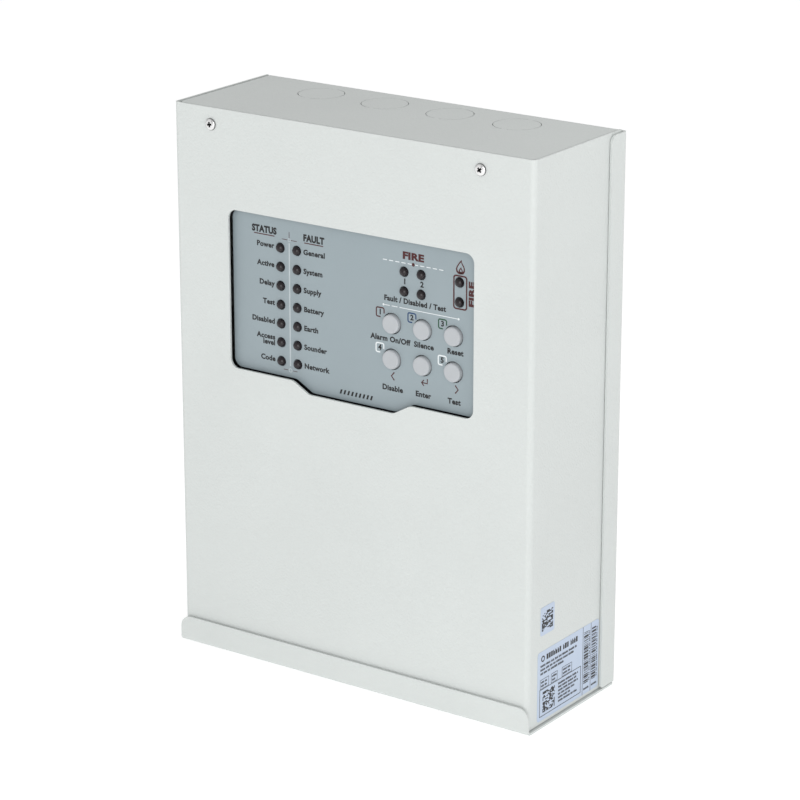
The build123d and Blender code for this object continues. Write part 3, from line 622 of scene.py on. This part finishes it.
def letters(ink, y0, y1, z, high):
    """A row of letter-sized strokes in word-sized groups, standing in for small print."""
    y = y0
    left_in_word = random.randint(3, 8)
    while y < y1 - high * 0.5:
        wide = high * random.uniform(0.38, 0.62)
        low = z - high / 2
        bite = high * random.choice((0.0, 0.28, 0.28))
        mid = y + wide * 0.45
        loop = [(y, low), (y + wide, low), (y + wide, low + high - bite),
                (mid, low + high - bite), (mid, low + high), (y, low + high)]
        ink.plate([loop if bite else rect(y, y + wide, low, low + high)], SIDE)
        y += wide + high * 0.17
        left_in_word -= 1
        if left_in_word == 0:
            left_in_word = random.randint(3, 8)
            y += high * 0.5


def cells(ink, y, z, count, size):
    """A square field of scattered cells, with no code in it."""
    gap = 0.06
    for i in range(count):
        j = 0
        while j < count:
            run = random.choice((1, 1, 1, 2, 3))
            if random.random() < 0.62:
                end = min(count, j + run)
                ink.plate([rect(y + j * size, y + end * size - gap, z + i * size,
                                z + (i + 1) * size - gap)], SIDE)
            j += run


# ---------------------------------------------------------------- cover screws
SCREWS = (("left", -86.7, 8), ("right", 79.8, 38))      # name, X, how far the cross is turned
SCREW_Z = 291.2
HEAD_H = 1.4
HEAD_PROFILE = [(0, -1.4), (1.3, -1.38), (2.05, -1.29), (2.6, -1.1), (2.95, -0.82),
                (3.14, -0.5), (3.2, -0.2), (3.14, 0.0), (1.95, 0.0)]
CREST_R, ROOT_R, PITCH, TURNS = 1.95, 1.62, 0.72, 12
POINT_PROFILE = [(1.55, 9.6), (0.9, 10.0), (0, 10.0)]


def cover_screws():
    """Pan heads with a tapered cross recess, and a threaded shank."""
    thread = []
    for k in range(TURNS):
        h = 0.7 + k * PITCH
        thread += [(CREST_R, h), (ROOT_R, h + PITCH / 2)]
    for side, x, clock in SCREWS:
        body = Shape()
        body.lathe(HEAD_PROFILE + thread + POINT_PROFILE, (x, COVER_Y, SCREW_Z), steps=48)
        obj = body.finish(f"pan_screw_{side}", "screw_bright", f"screw_{side}", 50)
        for turn in (0, 90):
            cutter = Shape()
            for v in cutter.box(-1.8, 1.8, -0.6, 0.6, -1.7, 0.0):
                if v.co.z < -1:         # the deep end is narrower and a little deeper
                    v.co.x *= 0.42
                    v.co.y *= 0.62
                v.co.z += max(0.0, v.co.z + 1) * 0.9
                v.co = Matrix.Rotation(math.radians(turn + clock), 3, "Z") @ v.co
                v.co = Vector((x + v.co.x, COVER_Y - HEAD_H - v.co.z, SCREW_Z + v.co.y))
            # the walls the cutter leaves take the near-black material: painted shade inside the
            # cross
            cut = cutter.finish(f"recess_{side}", "screw_recess_painted_shade", f"screw_{side}")
            mod = obj.modifiers.new("recess", "BOOLEAN")
            mod.operation = "DIFFERENCE"
            mod.object = cut
            mod.solver = "EXACT"
            mod.material_mode = "TRANSFER"
            bake(obj)
            bpy.data.objects.remove(cut)
        # the lower (back) half of the head and the shank take a dark metal: painted shade, a dark
        # outline round the head
        obj.data.materials.append(M["screw_rim_painted_shade"])
        rim = len(obj.data.materials) - 1
        for face in obj.data.polygons:
            if face.center.y > (COVER_Y - HEAD_H / 2) * MM and face.material_index == 0:
                face.material_index = rim
        shade(obj, 40)
        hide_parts(f"cover_screw_{side}")


# ---------------------------------------------------------------- inside
# x0, x1, z0, z1 of the ground that the CAD parts and screws of the main board take up
TAKEN = [(-84, -20, 217, 262), (-26, -4, 186, 208), (8, 44, 166, 206), (50, 90, 168, 262),
         (-76, -48, 176, 204), (-18, 18, 126, 139), (50, 91, 119, 136), (-90, 60, 249, 262),
         (-88, -82, 119, 127), (-3, 3, 119, 127), (82, 88, 119, 127), (-89, -81, 240, 248),
         (-4, 4, 240, 248)]
GRID_X, GRID_Z = 4.2, 3.4
TRIES, MOST_SITES = 900, 191


def board_sites():
    """Free places on a grid for the main board's small parts."""
    sites = []
    for _ in range(TRIES):
        x = random.uniform(-86, 86)
        z = random.uniform(121, 247)
        x, z = round(x / GRID_X) * GRID_X, round(z / GRID_Z) * GRID_Z
        if (x, z) in sites or len(sites) >= MOST_SITES:
            continue
        if any(a - 3 < x < b + 3 and c - 2 < z < d + 2 for a, b, c, d in TAKEN):
            continue
        sites.append((x, z))
    return sites


def board_details():
    """Small surface parts, pads and marks on the main board."""
    y = BOARD_Y
    chips, pads, tans, marks = Shape(), Shape(), Shape(), Shape()
    for n, (x, z) in enumerate(board_sites()):
        if n % 13 == 0:
            chips.box(x - 2, x + 2, y - 1.5, y - 0.15, z - 1.3, z + 1.3, 0.15)
            for k in range(4):
                for s in (-1, 1):
                    pads.box(x - 1.6 + k * 0.95, x - 1.25 + k * 0.95, y - 0.5, y,
                             z + s * 1.3 - 0.25 + s * 0.35, z + s * 1.3 + 0.25 + s * 0.35)
        else:
            group = tans if n % 3 == 0 else chips
            group.box(x - 0.62, x + 0.62, y - 0.6, y - 0.02, z - 0.62, z + 0.62, 0.08)
            for s in (-1, 1):
                pads.box(x + s * 0.95 - 0.33, x + s * 0.95 + 0.33, y - 0.55, y,
                         z - 0.66, z + 0.66)
    plane = facing_reader(y - SILK_T / 2)
    for box in ((-82, -24, 219, 242), (49, 87, 167, 196), (6, 44, 165, 206),
                (50, 68, 119, 132)):
        marks.plate(frame_loops(*box, 0.3), plane, SILK_T)
    for k in range(16):
        marks.text(str(k % 8 + 1), (-83.4 + k * 5.08, 247.9), 2.0, plane, thick=SILK_T)
    for shape, name, ink in ((chips, "board_chips", "chip_black"),
                             (pads, "board_pads", "solder"),
                             (tans, "board_ceramics", "ceramic_tan"),
                             (marks, "board_marks", "silk_white")):
        obj = shape.finish(name, ink, "base", 30)


def battery_print():
    """A plain coloured band with generic rows on the battery's face, and the two signs."""
    band, rows, signs = Shape(), Shape(), Shape()
    band.plate([round_rect(-92, 35, 14, 48, 2)], facing_reader(BATTERY_Y - 0.06), 0.1)
    face = facing_reader(BATTERY_Y - 0.14)
    rows.text("12 V", (-74, 37), 13, face, thick=SILK_T)
    for k in range(4):
        low = 40 - k * 5.4
        rows.plate([rect(-52, 26 - k * 9, low, 42.2 - k * 5.4)], face, SILK_T)
    lid = Matrix(((1, 0, 0, 0), (0, 1, 0, WALL_Y), (0, 0, 1, 95.36), (0, 0, 0, 1)))
    for sign, x in (("+", -94), ("-", 37)):
        signs.text(sign, (x, -47), 8, lid, thick=0.1)
    for shape, name, ink in ((band, "battery_band", "label_film"),
                             (rows, "battery_rows", "ink_black"),
                             (signs, "battery_signs", "ink_white")):
        obj = shape.finish(name, ink, "base")


dress_frame()
keys()
lamps()
overlay_print()
side_labels()
cover_screws()
board_details()
battery_print()


# ---------------------------------------------------------------- stage, light, camera
FLOOR_SIZE = 30.0           # metres
FLOOR_GLOW = 0.41
WORLD_GLOW = 0.62


def stage():
    """A plain white paper floor just under the case."""
    mesh = bpy.data.meshes.new("floor")
    bm = bmesh.new()
    bmesh.ops.create_grid(bm, x_segments=4, y_segments=4, size=FLOOR_SIZE)
    bm.to_mesh(mesh)
    bm.free()
    floor = bpy.data.objects.new("floor", mesh)
    floor.location = (0, 0, -0.0003)
    bpy.context.scene.collection.objects.link(floor)
    m = new_material("floor_paper", PAPER, 0.9, Emission_Color=(1, 1, 1, 1),
                     Emission_Strength=FLOOR_GLOW)
    coord = mottled(m, PAPER, spread=0.01, scale=3.0)
    bump(m, coord, scale=400.0, strength=0.02, distance=0.0002)
    mesh.materials.append(m)


def stand(obj, aim, azimuth, elevation, distance):
    """Puts a light or camera off a point, facing it. Azimuth 0 is in front of the case."""
    bpy.context.scene.collection.objects.link(obj)
    a, e = math.radians(azimuth), math.radians(elevation)
    back = Vector((math.sin(a) * math.cos(e), -math.cos(a) * math.cos(e), math.sin(e)))
    obj.location = Vector(aim) + back * distance
    obj.rotation_euler = (-back).to_track_quat("-Z", "Y").to_euler()


def soft_box(name, azimuth, elevation, distance, side, energy):
    """A square light aimed at the middle of the case, in metres and watts."""
    data = bpy.data.lights.new(name, "AREA")
    data.shape = "RECTANGLE"
    data.size = data.size_y = side
    data.energy = energy
    stand(bpy.data.objects.new(name, data), (0, 0, 0.15), azimuth, elevation, distance)


def camera():
    data = bpy.data.cameras.new("camera")
    data.sensor_width = 36.0
    data.lens = 142.04
    obj = bpy.data.objects.new("camera", data)
    stand(obj, (0.00367, -0.00025, 0.14823), 35.03, 18.28, 1.648)
    bpy.context.scene.camera = obj


def world():
    w = bpy.data.worlds.new("studio")
    w.use_nodes = True
    background = w.node_tree.nodes["Background"]
    background.inputs["Color"].default_value = (1, 1, 1, 1)
    background.inputs["Strength"].default_value = WORLD_GLOW
    bpy.context.scene.world = w
    bpy.context.scene.view_settings.view_transform = "Standard"
    bpy.context.scene.view_settings.look = "None"


stage()
soft_box("key", 34, 16, 1.7, side=1.2, energy=11.0)
soft_box("fill", -40, 20, 2.6, side=1.8, energy=3)
soft_box("crown", 100, 58, 0.75, side=0.3, energy=0.8)
camera()
world()
